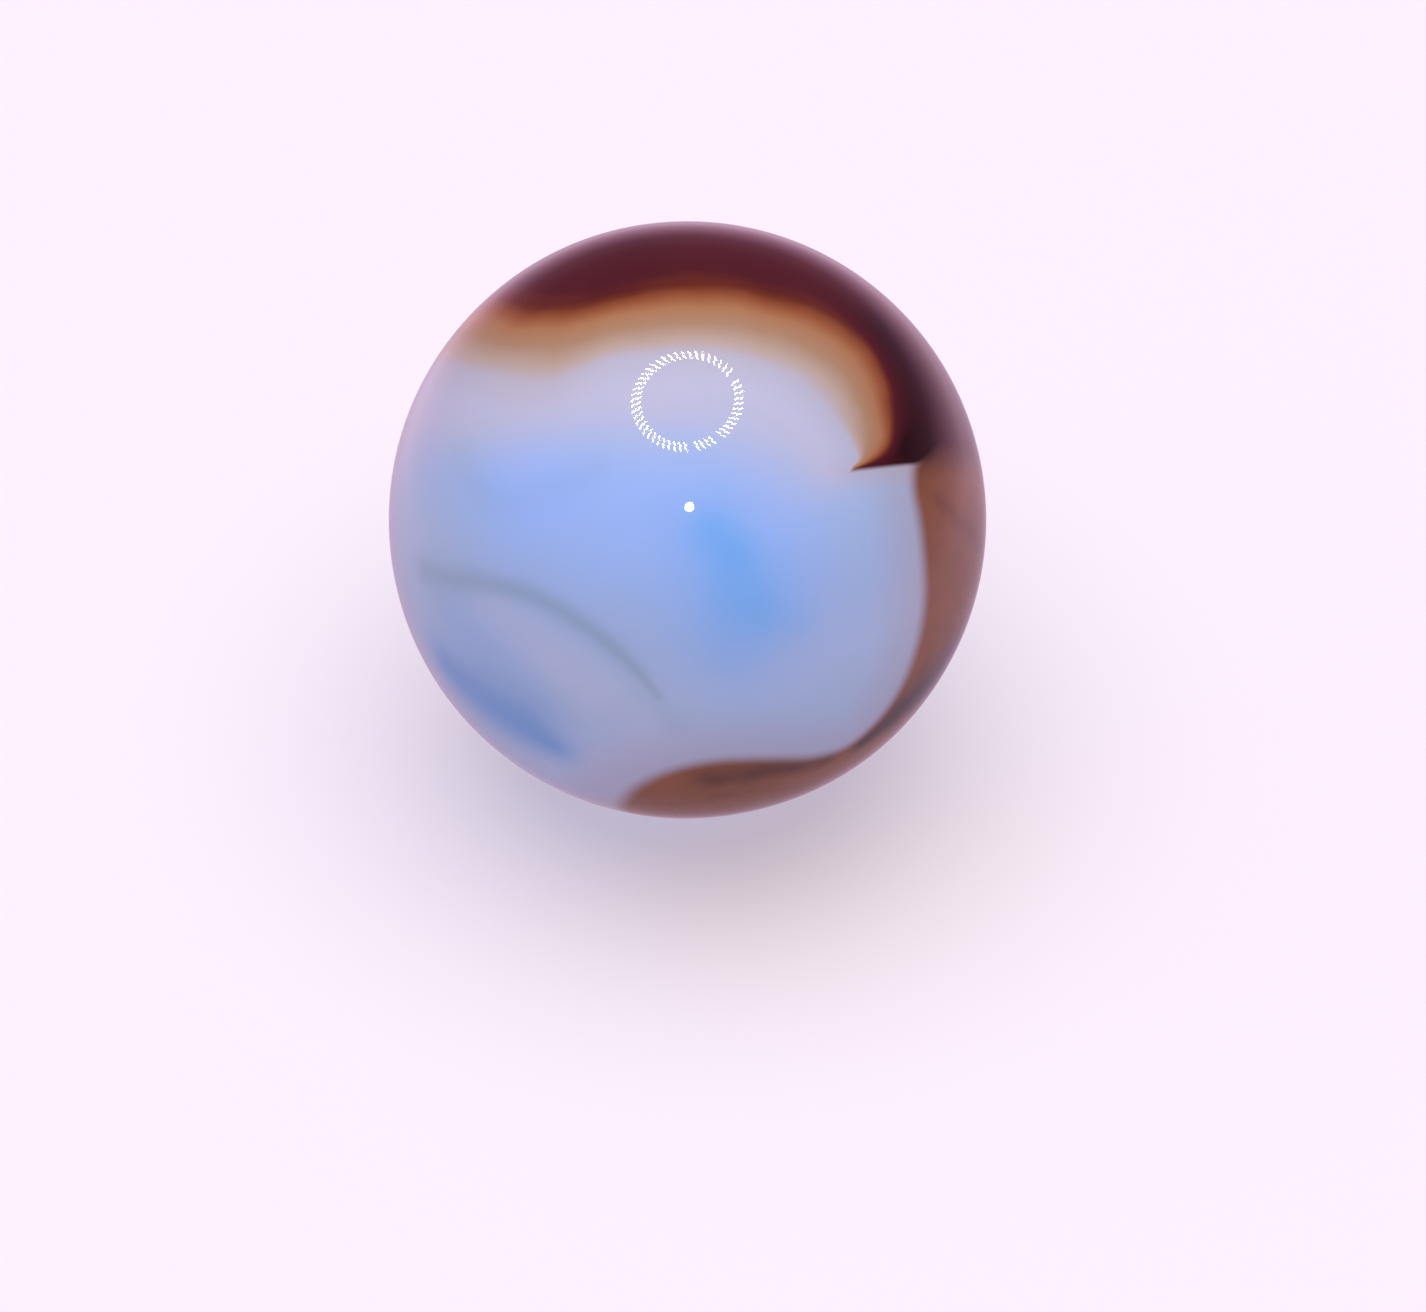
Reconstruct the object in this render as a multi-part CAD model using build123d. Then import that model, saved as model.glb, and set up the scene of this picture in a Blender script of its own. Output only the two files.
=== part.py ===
from build123d import *

import os

# A toy marble: one solid glass ball, rolled from a single gob of hot glass.
# Its ribbon of coloured glass is fused into the body, so it has no piece of its own.
#
# Frame: millimetres, +Z up as the ball lies on show, origin at the ball's centre.

BALL_DIAMETER = 17.5  # the 11/16 inch size of toy marble


def make_marble():
    """The whole ball: one sphere about the origin, with no flat, hole or seam."""
    marble = Sphere(BALL_DIAMETER / 2)
    marble.label = "marble"
    return marble


os.makedirs("parts", exist_ok=True)
export_step(make_marble(), "parts/marble.step")
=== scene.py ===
"""Glass marble: a ball of milky blue glass with a ribbon of amber and dark red glass fused into it.

The ball is one piece. Its ribbon, its blue streaks and its grey thread are drawn as fields on the ball:
each field is the angle, in degrees, from a curve laid over the surface, and the glass material turns
those angles into colour. Curves are given on a chart of the ball: a bearing clockwise from the top of
the show face, and a reach away from the middle of the show face, both in degrees.
"""

import bpy
import numpy as np
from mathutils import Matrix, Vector


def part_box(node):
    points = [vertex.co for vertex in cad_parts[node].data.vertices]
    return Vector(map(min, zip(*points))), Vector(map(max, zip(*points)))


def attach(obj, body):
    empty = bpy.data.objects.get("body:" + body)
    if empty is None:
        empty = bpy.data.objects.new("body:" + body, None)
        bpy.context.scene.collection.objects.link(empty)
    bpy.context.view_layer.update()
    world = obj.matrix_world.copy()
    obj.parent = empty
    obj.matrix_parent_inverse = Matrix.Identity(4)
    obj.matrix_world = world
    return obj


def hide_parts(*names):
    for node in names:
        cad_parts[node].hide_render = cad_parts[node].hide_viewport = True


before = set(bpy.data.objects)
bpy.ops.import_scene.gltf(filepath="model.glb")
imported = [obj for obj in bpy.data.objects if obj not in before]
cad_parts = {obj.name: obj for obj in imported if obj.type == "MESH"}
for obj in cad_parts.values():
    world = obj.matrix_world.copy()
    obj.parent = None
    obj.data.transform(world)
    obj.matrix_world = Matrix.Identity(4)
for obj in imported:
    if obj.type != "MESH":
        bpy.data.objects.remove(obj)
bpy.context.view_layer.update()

bl_info = {
    "name": "Glass marble",
    "version": (1, 0, 0),
    "blender": (4, 5, 0),
    "location": "3D View > Sidebar > Marble",
    "description": "Builds a swirled glass marble and the pale stage it is shown on",
    "category": "Add Mesh",
}

BALL_LOW, BALL_HIGH = (np.array(corner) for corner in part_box("marble"))
BALL_RADIUS = float((BALL_HIGH - BALL_LOW).max() / 2)
FLOOR_HEIGHT = float(BALL_LOW[2])


def facing(elevation):
    """The way towards -Y at an elevation in radians, and the way up across it."""
    toward = np.array([0.0, -np.cos(elevation), np.sin(elevation)])
    upward = np.array([0.0, np.sin(elevation), np.cos(elevation)])
    return toward, upward


# The show face looks this far above the horizon, towards -Y.
SHOW_ELEVATION = np.radians(44.0)
FACE, RISE = facing(SHOW_ELEVATION)
ACROSS = np.array([1.0, 0.0, 0.0])

# The unit ball's width, squared: no chord is longer.
BALL_WIDTH_SQUARED = 4.0

# Outlines and strokes on the chart: (bearing, reach) in degrees.
AMBER_OUTLINE = [
    (301, 78), (305, 52), (312, 39.5), (322, 36), (334, 34.5), (347, 32.5), (2, 32), (18, 32.5),
    (34, 34), (48, 35.2), (58, 35.6), (65, 36.3), (70.6, 36.6), (73.3, 34.2), (77, 34), (84, 40),
    (90, 60), (92, 85), (86, 112), (62, 122), (30, 120), (0, 124), (335, 124), (310, 112), (301, 96),
]
CORE_OUTLINE = [
    (321, 82), (323, 64), (330.5, 55), (344, 51.3), (0, 51), (17, 53), (32, 56), (45, 56.8),
    (55, 54.4), (62.5, 50.9), (67.2, 48.4), (70.8, 46), (72.8, 43), (73.8, 39), (74, 34.6), (77, 34),
    (82, 42), (84, 60), (84, 90), (76, 104), (56, 110), (28, 106), (0, 112), (340, 112), (325, 100),
]
SIDE_OUTLINE = [
    (72, 62), (75, 51.5), (82, 48.6), (90, 49.6), (98, 51.5), (105, 54), (112, 57), (120, 60.5),
    (128, 64), (136, 66.5), (145, 67), (152, 63), (158, 58.5), (165, 55), (173, 53.5), (181, 55),
    (188, 60), (192.5, 69), (193, 84), (184, 97), (168, 105), (150, 111), (132, 118), (114, 124),
    (96, 126), (80, 120), (70, 98),
]
# The fold where the crown's film ends runs on the great circle through these two chart points.
SEAM = ((74.2, 35.4), (77.0, 55.0))

# Strokes are (strength, [(bearing, reach, width), ...]), in degrees.
CROWN_DARK = [
    (0.34, [(47, 66, 8), (60, 62, 10), (72, 56, 9)]),
    (0.2, [(72.5, 50, 3), (74, 42, 2), (74, 38, 1.6)]),
]
# Dark streaks in the brown film, partly painted shade: the first stroke is a painted shadow below the
# hook's root, and the second, the dark patch low on the right of the show face, is brown film darkened
# as painted shade.
SIDE_DARK_AND_SHADE = [
    (0.5, [(77, 52, 2.2), (77, 64, 3.0), (76, 84, 4.5)]),
    (1.0, [(92, 116, 2), (100, 106, 4.5), (110, 95, 7), (119, 83, 8), (126, 76, 6.5), (134, 72, 4.5),
           (142, 71, 2.5)]),
    (0.5, [(150, 67, 3), (158, 63, 3.5), (166, 60.5, 4.2), (175, 60, 3.6)]),
    (0.22, [(86, 56, 1.5), (91, 66, 2.2), (94, 80, 3.0), (92, 96, 3.0), (86, 108, 2)]),
]
MILK_STROKES = [
    (1.0, [(294, 76, 12), (297, 56, 10), (307, 40, 9.5), (322, 31, 10), (345, 26.5, 11),
           (10, 26.5, 11), (38, 27.5, 11), (56, 29.5, 10), (65, 30, 8), (71, 30, 4)]),
    (0.34, [(247, 46, 6), (230, 40, 7), (209, 41, 8), (190, 48, 9), (200, 62, 11)]),
    (0.5, [(288, 82, 10), (265, 82, 12), (240, 86, 11), (215, 86, 12), (195, 82, 10)]),
    (0.7, [(292, 110, 9), (262, 122, 8), (225, 128, 9), (195, 120, 6)]),
]
SKY_STROKES = [
    (0.95, [(278, 28, 20), (270, 8, 22), (110, 12, 22)]),
    (0.2, [(284, 64, 8), (281, 46, 8), (285, 32, 8)]),
    (0.7, [(250, 104, 8), (225, 108, 10), (200, 104, 8), (180, 118, 8), (165, 135, 6)]),
]
AZURE_STROKES = [
    (0.36, [(128, 6, 8.5), (145, 16, 10)]),
    (0.32, [(118, 6, 4.5), (124, 11, 5)]),
    (0.3, [(147, 21, 10), (159, 28, 10)]),
    (0.16, [(140, 25, 4.5), (132, 30, 4)]),
]
# Deep blue streaks, partly painted shade: the strong lobe low on the show face is darkened where the
# ball's lower side is in shade.
DEEP_BLUE_AND_SHADE_STROKES = [
    (0.82, [(238, 69, 6), (229, 65, 8), (220, 62, 7.5), (211, 61, 5)]),
    (0.3, [(247, 56, 8), (233, 52, 9), (219, 53, 7)]),
    (0.5, [(268, 140, 4), (235, 146, 7), (180, 145, 7), (140, 140, 4)]),
]
GREY_THREAD = [
    (0.42, [(259, 63, 3.2), (256, 54, 2.5), (252, 44, 2.1), (243, 34.5, 2.0), (226, 29.5, 1.9),
            (209, 29.5, 1.7), (198, 32, 1.3), (189, 36.5, 0.8)]),
    (0.16, [(257, 60, 6), (252, 45, 4.5), (240, 34, 4.2), (222, 30, 4.2), (205, 31, 4.2),
            (192, 36, 3.6), (183, 43, 3)]),
    (0.11, [(285, 52, 3.4), (276, 40, 3.6), (280, 28, 3.4), (298, 20, 3)]),
]

# Unevenness inside the glass, in lumps per metre: body streaks, amber clouds, grain of the brown film.
STREAK_SCALE = 170.0
CLOUD_SCALE = 260.0
GRAIN_SCALE = 420.0

# Fades are (start, end, low, high): a smooth step from low to high as a field goes from start to end.
# These read the noise, and give how far it pushes a share.
STREAK_FADE = (0.3, 0.7, -0.09, 0.09)
CLOUD_FADE = (0.3, 0.7, -0.04, 0.04)
GRAIN_FADE = (0.3, 0.7, -0.04, 0.14)
# These read degrees from the amber outline and the seam: haze ahead of the crown's film.
HAZE_FADE = (-7.0, 3.5, 0.0, 0.6)
HAZE_SEAM_FADE = (-6.0, 1.0, 0.0, 1.0)
# These read degrees inside the side outline: smoke beside the brown film, and its own thickening.
SMOKE_FADE = (-16.0, 0.0, 0.0, 0.45)
SIDE_THICKENING = (2.0, 26.0, 0.0, 0.2)
# The brown film starts here, in degrees inside its outline, and is whole where this fade of the reach
# says: sharp on the show face, soft round the back.
SIDE_START = -2.0
SIDE_WHOLE = (84.0, 108.0, 2.6, 16.0)
# These read degrees inside the core outline: the film thickens in the core, and its dark strokes show.
CORE_THICKENING = (0.0, 6.0, 0.0, 0.1)
CROWN_DARK_FADE = (-2.0, 2.0, 0.0, 1.0)
# These read the crown film's thickness: 0 at the amber outline, 1 at the core outline.
CLOUD_ENTRY = (0.0, 0.3, 0.0, 1.0)
FILM_ENTRY = (0.0, 0.22, 0.0, 1.0)
THICKEST = 1.6
# A little added to what the thickness is divided by, so it is never nothing.
SLACK = 0.01
# These read the reach, and give where the fold starts and ends, in degrees above the seam: the first
# widens it round the back, the second beyond the tip, and the last lets the film go on behind.
FOLD_START = (74.0, 98.0, -0.6, -9.0)
FOLD_END = (50.0, 62.0, 0.5, 4.2)
FOLD_END_BEHIND = (74.0, 98.0, 0.0, 9.0)
FOLD_GONE = (94.0, 116.0, 0.0, 1.0)

# Slow unevenness of the surface: (x, y, z) waves per radian and a turn in degrees.
WAVES = [
    (5.0, 2.0, 6.0, 20), (-6.5, 3.0, 4.0, 130), (2.0, -7.5, 5.0, 250), (8.0, 5.0, -3.0, 70),
    (-3.0, -4.0, 9.0, 310), (6.0, -8.0, 2.0, 200),
]

# Lamps overhead, in metres: two rings of small dashes, longer along Y and a little skewed. The outer
# ring is turned on by a share of a spoke, and the spokes in RING_GAPS have no lamps.
RING_HEIGHT = 0.30
RING_RADII = (0.092, 0.1025)
RING_STRETCH = 1.07
RING_SKEW = 0.03
RING_LAMPS = 54
RING_TURN = 0.25
RING_GAPS = (5, 41, 46)
# A dash's length and width, and how far it leans from its spoke, in degrees.
RING_DASH = (0.0108, 0.0025)
RING_LEAN = 32.0

# The small round lamp: degrees above the show direction, metres aside and away, its radius and sides.
DOT_RISE = 3.9
DOT_ASIDE = 0.003
DOT_DISTANCE = 0.22
DOT_RADIUS = 0.0068
DOT_SIDES = 24

# What the gloss reflects, from straight down (0) through the horizon (0.5) to straight up (1).
ROOM = [
    (0.0, (150, 130, 148)), (0.15, (205, 172, 198)), (0.275, (250, 205, 236)),
    (0.36, (220, 166, 200)), (0.45, (158, 112, 140)), (0.55, (122, 88, 108)),
    (0.75, (95, 85, 98)), (1.0, (90, 88, 98)),
]

# Camera: its lens in millimetres, the ball's radius as a share of the frame's width, where it aims,
# across and up in ball radii, and the nearest and furthest that it sees, in metres.
CAMERA_LENS = 400.0
BALL_SHARE = 0.21003
AIM_IN_RADII = (0.0851, -0.4541)
CAMERA_CLIP = (0.01, 10.0)


def on_ball(points):
    """Unit vectors for chart points: the face turned by the reach, then swung to the bearing."""
    bearing, reach = np.radians(np.asarray(points, float)).T
    out = np.sin(reach)[:, None]
    return (
        out * np.sin(bearing)[:, None] * ACROSS
        + out * np.cos(bearing)[:, None] * RISE
        + np.cos(reach)[:, None] * FACE
    )


def smooth_line(points, closed=False, steps=10):
    """A Catmull-Rom curve through chart points, on the unit ball.

    Between two points the place is the cubic that passes both with the slope of their neighbours'
    chord, and every place is then brought to unit length.
    """
    p = on_ball(points)
    if closed:
        p = np.concatenate([p[-1:], p, p[:2]])
    else:
        p = np.concatenate([2 * p[:1] - p[1:2], p, 2 * p[-1:] - p[-2:-1]])
    t = np.linspace(0, 1, steps, endpoint=False)[None, :, None]
    a, b, c, d = p[:-3, None], p[1:-2, None], p[2:-1, None], p[3:, None]
    line = (
        b
        + 0.5 * (c - a) * t
        + (a - 2.5 * b + 2 * c - 0.5 * d) * t**2
        + (1.5 * (b - c) + 0.5 * (d - a)) * t**3
    ).reshape(-1, 3)
    line = np.concatenate([line, p[-2:-1]])
    return line / np.linalg.norm(line, axis=1)[:, None]


def runs_of(line, places):
    """For each straight run of a line: how far along it each place lies, and the gap squared.

    The share along the run is the place's shadow on it over its length, kept from 0 to 1, and the gap
    is from the place to that point of the run.
    """
    for start, end in zip(line[:-1], line[1:]):
        run = end - start
        share = np.clip((places - start) @ run / (run @ run), 0, 1)
        gap = places - start - share[:, None] * run
        yield share, np.einsum("ij,ij->i", gap, gap)


def angle_to(line, places):
    """Degrees from each place to the nearest point of a line, by way of the chord between them."""
    nearest = np.full(len(places), BALL_WIDTH_SQUARED)
    for _, gap_squared in runs_of(line, places):
        nearest = np.minimum(nearest, gap_squared)
    return np.degrees(2 * np.arcsin(np.clip(np.sqrt(nearest) / 2, 0, 1)))


def inside(loop, places, pole):
    """Whether each place lies within a closed line.

    The ball is laid flat by projecting it from a pole outside the line, and a place is inside if a
    straight way out of it crosses the flat line an odd number of times.
    """
    east = np.cross(pole, [0.3, 0.5, 0.8])
    east /= np.linalg.norm(east)
    north = np.cross(pole, east)

    def flat(v):
        return np.stack([v @ east, v @ north]) / np.maximum(1 - v @ pole, 1e-9)

    x, y = flat(places)
    across, up = flat(loop)
    odd = np.zeros(len(places), bool)
    for i in range(len(loop) - 1):
        spans = (up[i] > y) != (up[i + 1] > y)
        rise = up[i + 1] - up[i] if up[i + 1] != up[i] else 1.0
        odd ^= spans & (x < across[i] + (y - up[i]) / rise * (across[i + 1] - across[i]))
    return odd


def depth_in(outline, places, pole):
    """Degrees inside a closed outline, negative outside it."""
    loop = smooth_line(outline, closed=True)
    return np.where(inside(loop, places, pole), 1, -1) * angle_to(loop, places)


def cube_ball(cells):
    """Unit places and quads of a ball made of six square grids.

    On each side of a cube the two parameters are angles from -45 to 45 degrees, and a place is the
    side's normal plus their tangents along its two edges, brought to unit length. Shared edges are
    merged, so the ball is closed and has no poles.
    """
    tangent = np.tan(np.radians(np.linspace(-45, 45, cells + 1)))
    tangent[[0, -1]] = -1, 1
    u, v = np.meshgrid(tangent, tangent, indexing="ij")
    axes = np.eye(3)
    sides = []
    for i in range(3):
        for sign in (1, -1):
            normal, first, second = sign * axes[i], sign * axes[(i + 1) % 3], axes[(i + 2) % 3]
            sides.append(normal + u[..., None] * first + v[..., None] * second)
    places = np.concatenate([side.reshape(-1, 3) for side in sides])
    number = np.arange(len(places)).reshape(6, cells + 1, cells + 1)
    quads = np.stack(
        [number[:, :-1, :-1], number[:, 1:, :-1], number[:, 1:, 1:], number[:, :-1, 1:]], axis=-1
    ).reshape(-1, 4)
    places, merged = np.unique(np.round(places, 9) + 0.0, axis=0, return_inverse=True)
    return places / np.linalg.norm(places, axis=1)[:, None], merged.reshape(-1)[quads].tolist()


def stroke(points, places):
    """How strongly a soft stroke covers each place, from 0 to 1.

    Points are (bearing, reach, width), all in degrees. The cover is the bell curve of the distance to
    the stroke's line over the width there, and the highest along the line counts.
    """
    line = smooth_line([point[:2] for point in points])
    steps = np.linspace(0, len(points) - 1, len(line))
    widths = np.radians(np.interp(steps, range(len(points)), [point[2] for point in points]))
    cover = np.zeros(len(places))
    for i, (share, gap_squared) in enumerate(runs_of(line, places)):
        width = widths[i] + share * (widths[i + 1] - widths[i])
        cover = np.maximum(cover, np.exp(-gap_squared / width**2))
    return cover


def strokes(table, places):
    """The sum of several strokes, each times its own strength."""
    return sum(strength * stroke(points, places) for strength, points in table)


def waviness(places):
    """The slow unevenness of a rolled ball, from -1 to 1: the mean of plane waves across it."""
    total = np.zeros(len(places))
    for x, y, z, turn in WAVES:
        total += np.sin(places @ np.array([x, y, z]) + np.radians(turn))
    return total / len(WAVES)


def ball_fields(places):
    """Every field that the glass material reads, by attribute name."""
    seam_side = np.cross(*on_ball(SEAM))
    seam_side /= np.linalg.norm(seam_side)
    return {
        "amber_depth": depth_in(AMBER_OUTLINE, places, FACE),
        "core_depth": depth_in(CORE_OUTLINE, places, FACE),
        "side_depth": depth_in(SIDE_OUTLINE, places, FACE),
        "above_seam": np.degrees(np.arcsin(np.clip(places @ seam_side, -1, 1))),
        "reach": np.degrees(np.arccos(np.clip(places @ FACE, -1, 1))),
        "crown_dark": strokes(CROWN_DARK, places),
        "side_dark_and_shade": strokes(SIDE_DARK_AND_SHADE, places),
        "milk": strokes(MILK_STROKES, places),
        "sky": strokes(SKY_STROKES, places),
        "azure": strokes(AZURE_STROKES, places),
        "deep_blue_and_shade": strokes(DEEP_BLUE_AND_SHADE_STROKES, places),
        "thread": strokes(GREY_THREAD, places),
    }


def mesh_piece(name, places, faces, smooth=True):
    """A new object whose mesh holds these places and faces, standing at the origin."""
    mesh = bpy.data.meshes.new(name)
    mesh.from_pydata(places.tolist(), [], faces)
    mesh.polygons.foreach_set("use_smooth", np.full(len(mesh.polygons), smooth))
    mesh.update()
    piece = bpy.data.objects.new(name, mesh)
    bpy.context.scene.collection.objects.link(piece)
    return piece


class Nodes:
    """A short way to write a node tree: each call adds a node and returns its output."""

    def __init__(self, tree):
        self.tree = tree
        tree.nodes.clear()

    def add(self, kind, inputs=(), output=0, **settings):
        """A node of a kind, with settings set and (socket, value or output) inputs joined."""
        node = self.tree.nodes.new(kind)
        for key, value in settings.items():
            setattr(node, key, value)
        for socket, value in dict(inputs).items():
            if isinstance(value, bpy.types.NodeSocket):
                self.tree.links.new(value, node.inputs[socket])
            else:
                node.inputs[socket].default_value = value
        return node.outputs[output] if node.outputs else node

    def field(self, name):
        """A mesh attribute's value."""
        return self.add("ShaderNodeAttribute", output="Fac", attribute_name=name)

    def math(self, operation, first, second=0.0):
        """Arithmetic on one or two values."""
        return self.add("ShaderNodeMath", {0: first, 1: second}, operation=operation)

    def rise(self, value, start, end, low=0.0, high=1.0):
        """A smooth step from low to high as the value goes from start to end."""
        inputs = {"Value": value, 1: start, 2: end, 3: low, 4: high}
        return self.add("ShaderNodeMapRange", inputs, interpolation_type="SMOOTHSTEP")

    def mix(self, share, first, second, blend="MIX"):
        """Two colours mixed by a share."""
        inputs = {0: share, 6: first, 7: second}
        return self.add("ShaderNodeMix", inputs, output=2, data_type="RGBA", blend_type=blend)

    def ramp(self, value, stops):
        """A colour ramp with (place, colour) stops."""
        out = self.add("ShaderNodeValToRGB", {0: value})
        elements = out.node.color_ramp.elements
        while len(elements) < len(stops):
            elements.new(0.5)
        for element, (place, colour) in zip(elements, stops):
            element.position = place
            element.color = colour
        return out

    def noise(self, scale, detail=2.0, distortion=0.0):
        """Noise on the piece's own coordinates, scale in lumps per metre."""
        place = self.add("ShaderNodeTexCoord", output="Object")
        inputs = {"Vector": place, "Scale": scale, "Detail": detail, "Distortion": distortion}
        return self.add("ShaderNodeTexNoise", inputs, output="Fac")


def new_material(name):
    """A material with an empty node tree, and the writer of that tree."""
    material = bpy.data.materials.new(name)
    material.use_nodes = True
    return material, Nodes(material.node_tree)


def swirl_glass(colours):
    """The marble's glass: milky blue body, brown film down its side, amber film with a dark core."""
    material, n = new_material("swirl_glass")

    # Body: lavender glass with milk under the ribbon, clear blue in the middle, and its streaks; the
    # deep blue lobe low down is partly painted shade.
    streak = n.rise(n.noise(STREAK_SCALE, detail=4.0, distortion=1.2), *STREAK_FADE)
    body = n.mix(n.math("ADD", n.field("sky"), streak), colours.lavender, colours.sky)
    body = n.mix(n.math("ADD", n.field("milk"), streak), body, colours.milk)
    body = n.mix(n.field("azure"), body, colours.azure)
    body = n.mix(n.field("deep_blue_and_shade"), body, colours.deep_blue_and_shade)
    body = n.mix(n.field("thread"), body, colours.thread)

    # Haze that the crown's film casts ahead of its edge, down to the seam and no further.
    amber_depth = n.field("amber_depth")
    above_seam = n.field("above_seam")
    haze = n.rise(amber_depth, *HAZE_FADE)
    haze = n.math("MULTIPLY", haze, n.rise(above_seam, *HAZE_SEAM_FADE))
    body = n.mix(haze, body, colours.haze)

    # Film down the side: brown behind its outline, darker along its own strokes, two of which are
    # painted shade: a painted shadow below the hook's root and the dark patch low on the right.
    side_depth = n.field("side_depth")
    reach = n.field("reach")
    side_shade = n.math("ADD", n.rise(side_depth, *SIDE_THICKENING), n.field("side_dark_and_shade"))
    grain = n.rise(n.noise(GRAIN_SCALE, detail=5.0, distortion=1.6), *GRAIN_FADE)
    brown = n.mix(n.math("ADD", side_shade, grain), colours.umber, colours.dark_umber)
    body = n.mix(n.rise(side_depth, *SMOKE_FADE), body, colours.smoke)
    side_whole = n.rise(reach, *SIDE_WHOLE)
    body = n.mix(n.rise(side_depth, SIDE_START, side_whole), body, brown)

    # Film over the crown: 0 at the amber outline, 1 at the core outline, more inside the core.
    amber = n.math("MAXIMUM", amber_depth, 0.0)
    core = n.field("core_depth")
    short_of_core = n.math("MAXIMUM", n.math("MULTIPLY", core, -1.0), 0.0)
    whole = n.math("ADD", n.math("ADD", amber, short_of_core), SLACK)
    film = n.math("DIVIDE", amber, whole)
    film = n.math("ADD", film, n.rise(core, *CORE_THICKENING))
    dark = n.math("MULTIPLY", n.field("crown_dark"), n.rise(core, *CROWN_DARK_FADE))
    film = n.math("ADD", film, dark)
    cloud = n.rise(n.noise(CLOUD_SCALE, detail=3.0), *CLOUD_FADE)
    film = n.math("ADD", film, n.math("MULTIPLY", cloud, n.rise(film, *CLOUD_ENTRY)))

    # The crown's film ends in a fold at the seam, sharp at its tip, soft over the brown film.
    fold_start = n.rise(reach, *FOLD_START)
    fold_end = n.math("ADD", n.rise(reach, *FOLD_END), n.rise(reach, *FOLD_END_BEHIND))
    fold = n.rise(above_seam, fold_start, fold_end)
    fold = n.math("MAXIMUM", fold, n.rise(reach, *FOLD_GONE))

    tint = n.ramp(
        n.math("DIVIDE", film, THICKEST),
        [
            (0.0, colours.haze),
            (0.13, colours.blush),
            (0.28, colours.sand),
            (0.41, colours.amber),
            (0.5, colours.burnt),
            (0.59, colours.red),
            (0.66, colours.core),
            (0.88, colours.black_core),
        ],
    )
    cover = n.math("MULTIPLY", n.rise(film, *FILM_ENTRY), fold)
    colour = n.mix(cover, body, tint)

    shader = n.add(
        "ShaderNodeBsdfPrincipled",
        {
            "Base Color": colour,
            "Roughness": colours.roughness,
            "IOR": colours.ior,
        },
    )
    n.add("ShaderNodeOutputMaterial", {"Surface": shader})
    return material


def pale_floor(colour, glow_strength):
    """A matt floor, lit a little from within so that the ball's shadow on it stays soft."""
    material, n = new_material("pale_floor")
    shader = n.add(
        "ShaderNodeBsdfPrincipled",
        {
            "Base Color": colour,
            "Roughness": 0.9,
            "Specular IOR Level": 0.0,
            "Emission Color": colour,
            "Emission Strength": glow_strength,
        },
    )
    n.add("ShaderNodeOutputMaterial", {"Surface": shader})
    return material


def glow(name, strength):
    """A surface that gives off white light."""
    material, n = new_material(name)
    shader = n.add("ShaderNodeEmission", {"Strength": strength})
    n.add("ShaderNodeOutputMaterial", {"Surface": shader})
    return material


def linear(red, green, blue):
    """A scene-linear colour with full alpha from display values of 0 to 255."""
    value = np.array([red, green, blue]) / 255
    bright = ((value + 0.055) / 1.055) ** 2.4
    return (*np.where(value > 0.04045, bright, value / 12.92).tolist(), 1.0)


def colour_property(name, description, red, green, blue):
    """A colour that the user may change, given by its display values."""
    return bpy.props.FloatVectorProperty(
        name=name,
        description=description,
        subtype="COLOR",
        size=4,
        min=0.0,
        max=1.0,
        default=linear(red, green, blue),
    )


class GlassColours(bpy.types.PropertyGroup):
    """Colours and polish of the marble's glass."""

    milk: colour_property("Milk", "Palest glass, under the ribbon", 192, 189, 219)
    lavender: colour_property("Lavender", "Body glass away from the middle", 167, 186, 224)
    sky: colour_property("Sky", "Clear blue glass in the middle", 156, 185, 252)
    azure: colour_property("Azure", "Bright blue lights in the body", 104, 173, 248)
    # Deep blue glass, darkened as painted shade where it lies low on the body.
    deep_blue_and_shade: colour_property("Deep blue", "Dark blue lobe low on the body", 110, 154, 216)
    thread: colour_property("Thread", "Thin grey thread across the body", 132, 156, 184)
    smoke: colour_property("Smoke", "Grey glass beside the brown film", 174, 156, 172)
    umber: colour_property("Umber", "Brown film down the side", 136, 82, 56)
    dark_umber: colour_property("Dark umber", "Thick brown film", 58, 31, 38)
    haze: colour_property("Haze", "Thinnest film over the body", 188, 172, 184)
    blush: colour_property("Blush", "First trace of amber in the film", 187, 163, 158)
    sand: colour_property("Sand", "Thin amber film", 172, 132, 108)
    amber: colour_property("Amber", "Amber film", 172, 117, 86)
    burnt: colour_property("Burnt amber", "Thick amber film", 150, 84, 54)
    red: colour_property("Red", "Red edge of the dark core", 108, 44, 28)
    core: colour_property("Core", "Dark red core", 80, 22, 31)
    black_core: colour_property("Black core", "Thickest part of the core", 36, 3, 7)
    roughness: bpy.props.FloatProperty(
        name="Roughness",
        description="Roughness of the polished surface",
        subtype="FACTOR",
        default=0.03,
        min=0.0,
        max=1.0,
    )
    ior: bpy.props.FloatProperty(
        name="IOR",
        description="Index of refraction that sets the gloss",
        default=1.5,
        min=1.0,
    )


class BallSizes(bpy.types.PropertyGroup):
    """Sizes of the ball."""

    radius: bpy.props.FloatProperty(
        name="Radius",
        description="Radius of the ball",
        subtype="DISTANCE",
        unit="LENGTH",
        default=BALL_RADIUS,
    )
    waviness: bpy.props.FloatProperty(
        name="Waviness",
        description="How far the rolled surface dips below a true ball",
        subtype="DISTANCE",
        unit="LENGTH",
        default=0.00004,
        precision=6,
    )
    cells: bpy.props.IntProperty(
        name="Cells",
        description="Mesh cells along each side of the cube that the ball is made from",
        default=128,
        min=8,
        max=128,
    )


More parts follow.
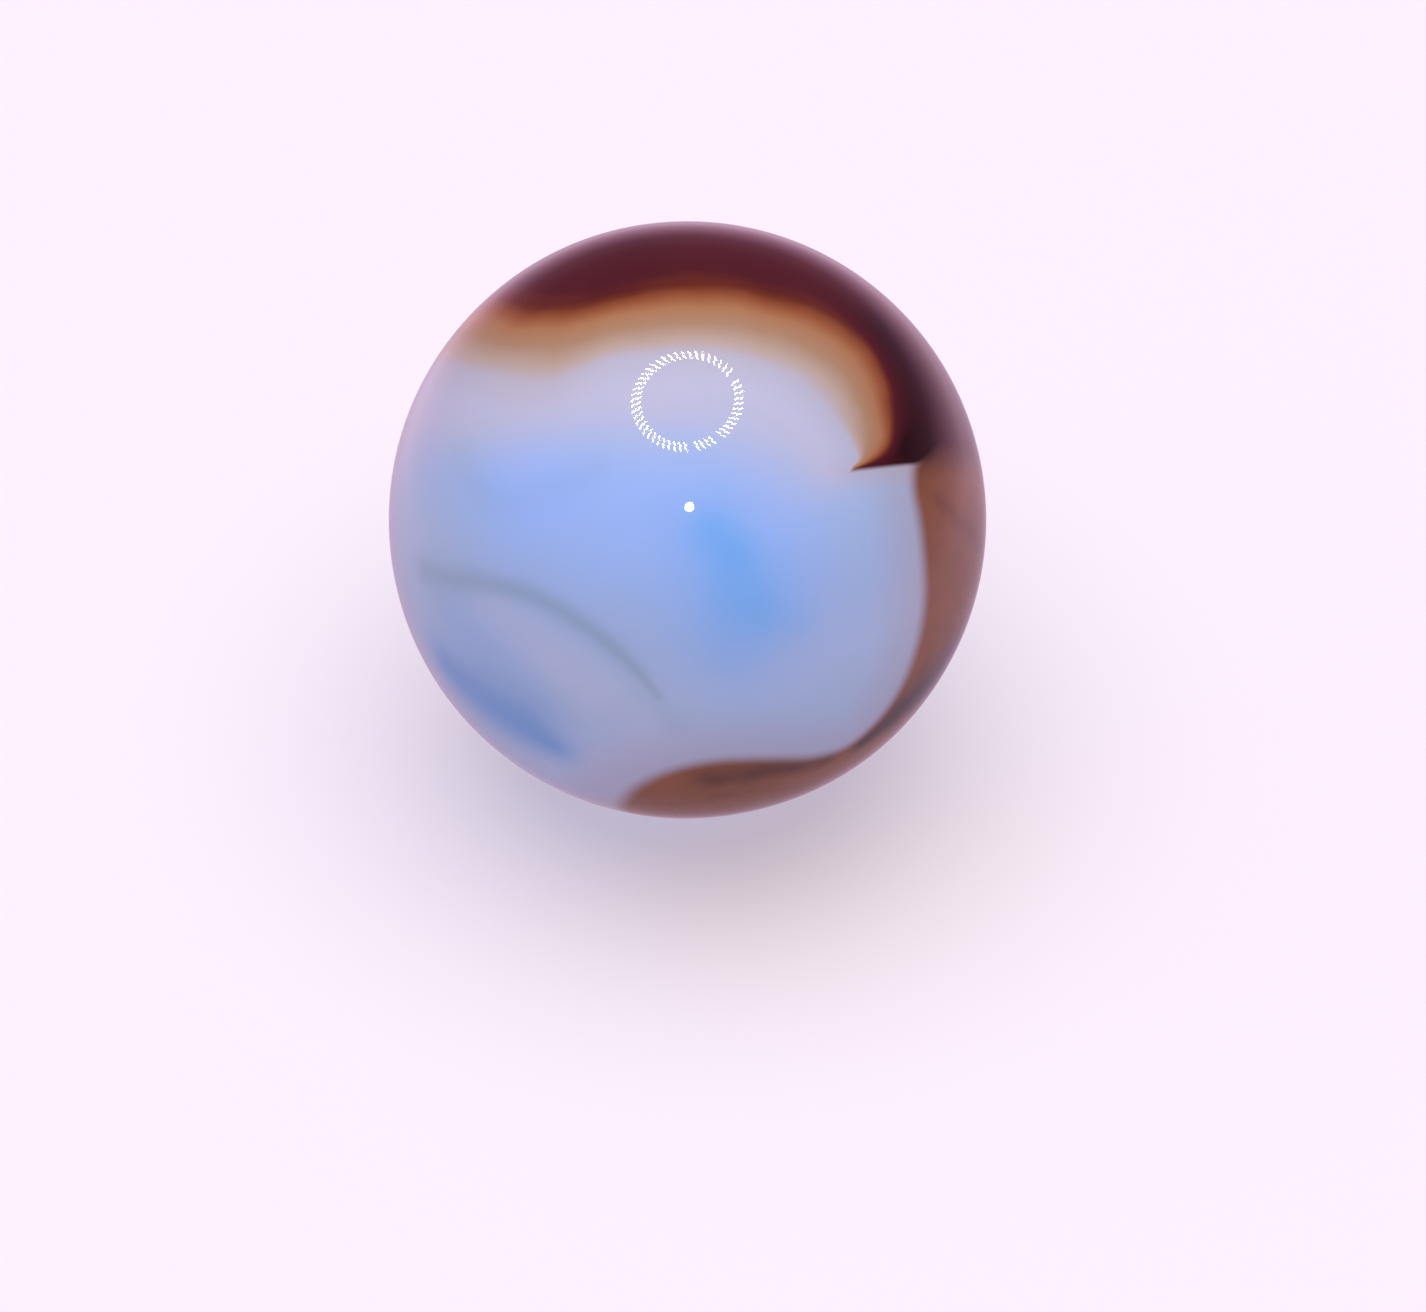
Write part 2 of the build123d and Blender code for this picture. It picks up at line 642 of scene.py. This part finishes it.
class StageSettings(bpy.types.PropertyGroup):
    """Floor, light and backdrop."""

    floor: colour_property("Floor", "Colour of the floor", 190, 181, 190)
    floor_glow: bpy.props.FloatProperty(
        name="Floor glow",
        description="How much of its own colour the floor gives off",
        default=0.772,
        min=0.0,
    )
    backdrop: colour_property("Backdrop", "Colour behind the floor", 254, 243, 254)
    ambient: colour_property("Ambient", "Soft light from all round", 158, 156, 158)
    key: bpy.props.FloatProperty(
        name="Overhead light",
        description="Strength of the broad light overhead",
        default=2.55,
        min=0.0,
    )
    key_spread: bpy.props.FloatProperty(
        name="Overhead spread",
        description="Angle that the broad light overhead fills",
        subtype="ANGLE",
        unit="ROTATION",
        default=float(np.radians(70.0)),
    )
    ring_glow: bpy.props.FloatProperty(
        name="Ring glow",
        description="Strength of the ring of small lamps",
        default=42.0,
        min=0.0,
    )
    small_glow: bpy.props.FloatProperty(
        name="Small lamp glow",
        description="Strength of the small lamp beside the camera",
        default=40.0,
        min=0.0,
    )
    floor_radius: bpy.props.FloatProperty(
        name="Floor radius",
        description="Radius of the round floor",
        subtype="DISTANCE",
        unit="LENGTH",
        default=2.0,
    )


class MARBLE_OT_build_ball(bpy.types.Operator):
    """Build the glass ball with its ribbon, streaks and thread"""

    bl_idname = "marble.build_ball"
    bl_label = "Build ball"

    def execute(self, context):
        sizes = context.scene.marble_sizes
        places, quads = cube_ball(sizes.cells)
        dip = sizes.waviness * (1 + waviness(places)) / 2
        ball = mesh_piece("glass_ball", places * (sizes.radius - dip)[:, None], quads)
        for name, values in ball_fields(places).items():
            attribute = ball.data.attributes.new(name, "FLOAT", "POINT")
            attribute.data.foreach_set("value", values.astype(np.float32))
        ball.data.materials.append(swirl_glass(context.scene.marble_colours))
        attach(ball, "root")
        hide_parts("marble")
        return {"FINISHED"}


def round_floor(radius, rings=24, sectors=96):
    """A flat disc: rings of points whose radius grows with the square of the ring's number.

    The inner ring is closed by triangles that meet at the disc's middle, and the rest are quads.
    """
    ring, sector = np.meshgrid(np.arange(1, rings + 1), np.arange(sectors), indexing="ij")
    out = radius * (ring / rings) ** 2
    turn = 2 * np.pi * sector / sectors
    places = np.stack([out * np.cos(turn), out * np.sin(turn), np.full(out.shape, FLOOR_HEIGHT)], -1)
    number = (ring - 1) * sectors + sector
    after = np.roll(number, -1, axis=1)
    quads = np.stack([number[:-1], number[1:], after[1:], after[:-1]], axis=-1).reshape(-1, 4)
    middle = np.stack([np.full(sectors, rings * sectors), number[0], after[0]], axis=-1)
    places = np.concatenate([places.reshape(-1, 3), [[0.0, 0.0, FLOOR_HEIGHT]]])
    return places, quads.tolist() + middle.tolist()


def ring_of_lamps():
    """Small tilted dashes in two rings overhead, each a flat oblong turned from its spoke.

    A dash's middle is its ring's radius out along its spoke, more or less by a sine of twice the
    spoke's turn, and its corners are half its length and half its width away, both ways.
    """
    spoke, row = np.meshgrid(np.arange(RING_LAMPS), [0, 1], indexing="ij")
    turn = 2 * np.pi * (spoke + RING_TURN * row) / RING_LAMPS
    centre_out = np.array(RING_RADII)[row] * (1 + RING_SKEW * np.sin(2 * turn))
    gap = np.isin(spoke, RING_GAPS)
    turn, centre_out = turn[~gap], centre_out[~gap]
    lean = turn + np.radians(RING_LEAN)
    along = np.stack([np.cos(lean), np.sin(lean)], -1) * RING_DASH[0] / 2
    across = np.stack([-np.sin(lean), np.cos(lean)], -1) * RING_DASH[1] / 2
    centre = np.stack([np.cos(turn), RING_STRETCH * np.sin(turn)], -1) * centre_out[:, None]
    corners = np.stack(
        [
            centre - along - across,
            centre - along + across,
            centre + along + across,
            centre + along - across,
        ],
        axis=1,
    ).reshape(-1, 2)
    places = np.concatenate([corners, np.full((len(corners), 1), RING_HEIGHT)], axis=1)
    return places, np.arange(len(places)).reshape(-1, 4).tolist()


def small_round_lamp():
    """A round disc beside the camera: a circle across the way that it faces, moved aside."""
    turn = np.linspace(0, 2 * np.pi, DOT_SIDES, endpoint=False)
    toward, upward = facing(SHOW_ELEVATION + np.radians(DOT_RISE))
    circle = np.cos(turn)[:, None] * ACROSS + np.sin(turn)[:, None] * upward
    places = DOT_DISTANCE * toward + DOT_RADIUS * circle + DOT_ASIDE * ACROSS
    return places, [list(range(DOT_SIDES))]


def reflected_only(lamp):
    """A lamp that shows in gloss and lights nothing else."""
    lamp.visible_camera = False
    lamp.visible_diffuse = False
    lamp.visible_shadow = False


def overhead_light(scene, settings):
    """The broad light overhead, which the gloss doesn't show."""
    light = bpy.data.lights.new("overhead", "SUN")
    light.energy = settings.key
    light.angle = settings.key_spread
    overhead = bpy.data.objects.new("overhead", light)
    overhead.visible_glossy = False
    scene.collection.objects.link(overhead)


def room_light(scene, settings):
    """Light from all round: one colour for matt surfaces, the room's for gloss, and the backdrop."""
    world = bpy.data.worlds.new("room")
    scene.world = world
    world.use_nodes = True
    n = Nodes(world.node_tree)
    direction = n.add("ShaderNodeTexCoord", output="Generated")
    height = n.add("ShaderNodeSeparateXYZ", {0: direction}, output="Z")
    height = n.math("ADD", n.math("MULTIPLY", height, 0.5), 0.5)
    room = n.ramp(height, [(place, linear(*colour)) for place, colour in ROOM])
    in_gloss = n.add("ShaderNodeLightPath", output="Is Glossy Ray")
    to_camera = n.add("ShaderNodeLightPath", output="Is Camera Ray")
    sky = n.mix(in_gloss, settings.ambient, room)
    sky = n.mix(to_camera, sky, settings.backdrop)
    n.add("ShaderNodeOutputWorld", {"Surface": n.add("ShaderNodeBackground", {"Color": sky})})


def show_camera(scene):
    """The camera square to the show face, as far away as makes the ball its share of the frame."""
    camera = bpy.data.objects.new("camera", bpy.data.cameras.new("camera"))
    scene.collection.objects.link(camera)
    scene.camera = camera
    camera.data.lens = CAMERA_LENS
    distance = BALL_RADIUS * CAMERA_LENS / camera.data.sensor_width / BALL_SHARE
    aim = BALL_RADIUS * (AIM_IN_RADII[0] * ACROSS + AIM_IN_RADII[1] * RISE)
    camera.location = Vector(aim + distance * FACE)
    camera.rotation_mode = "QUATERNION"
    camera.rotation_quaternion = Vector(-FACE).to_track_quat("-Z", "Y")
    camera.data.clip_start, camera.data.clip_end = CAMERA_CLIP


class MARBLE_OT_build_stage(bpy.types.Operator):
    """Build the floor, the lights and the camera"""

    bl_idname = "marble.build_stage"
    bl_label = "Build stage"

    def execute(self, context):
        settings = context.scene.marble_stage
        floor = mesh_piece("floor", *round_floor(settings.floor_radius), smooth=False)
        floor.data.materials.append(pale_floor(settings.floor, settings.floor_glow))
        floor.visible_glossy = False

        ring = mesh_piece("ring_lamp", *ring_of_lamps(), smooth=False)
        ring.data.materials.append(glow("ring_glow", settings.ring_glow))
        reflected_only(ring)

        dot = mesh_piece("small_lamp", *small_round_lamp(), smooth=False)
        dot.data.materials.append(glow("small_glow", settings.small_glow))
        reflected_only(dot)

        overhead_light(context.scene, settings)
        room_light(context.scene, settings)
        show_camera(context.scene)
        context.scene.view_settings.view_transform = "Standard"
        return {"FINISHED"}


class MARBLE_PT_panel(bpy.types.Panel):
    """Sizes, colours and build buttons"""

    bl_idname = "MARBLE_PT_panel"
    bl_label = "Glass marble"
    bl_space_type = "VIEW_3D"
    bl_region_type = "UI"
    bl_category = "Marble"

    def draw(self, context):
        scene = context.scene
        for group in (scene.marble_sizes, scene.marble_colours, scene.marble_stage):
            box = self.layout.box()
            for key in group.__annotations__:
                box.prop(group, key)
        self.layout.operator("marble.build_ball")
        self.layout.operator("marble.build_stage")


CLASSES = (
    GlassColours,
    BallSizes,
    StageSettings,
    MARBLE_OT_build_ball,
    MARBLE_OT_build_stage,
    MARBLE_PT_panel,
)


def register():
    """Adds the classes and the settings that the scene holds."""
    for cls in CLASSES:
        bpy.utils.register_class(cls)
    bpy.types.Scene.marble_colours = bpy.props.PointerProperty(type=GlassColours)
    bpy.types.Scene.marble_sizes = bpy.props.PointerProperty(type=BallSizes)
    bpy.types.Scene.marble_stage = bpy.props.PointerProperty(type=StageSettings)


def unregister():
    """Removes what register added."""
    del bpy.types.Scene.marble_colours
    del bpy.types.Scene.marble_sizes
    del bpy.types.Scene.marble_stage
    for cls in reversed(CLASSES):
        bpy.utils.unregister_class(cls)


def main():
    """Builds everything."""
    register()
    bpy.ops.marble.build_ball()
    bpy.ops.marble.build_stage()


if __name__ == "__main__":
    main()
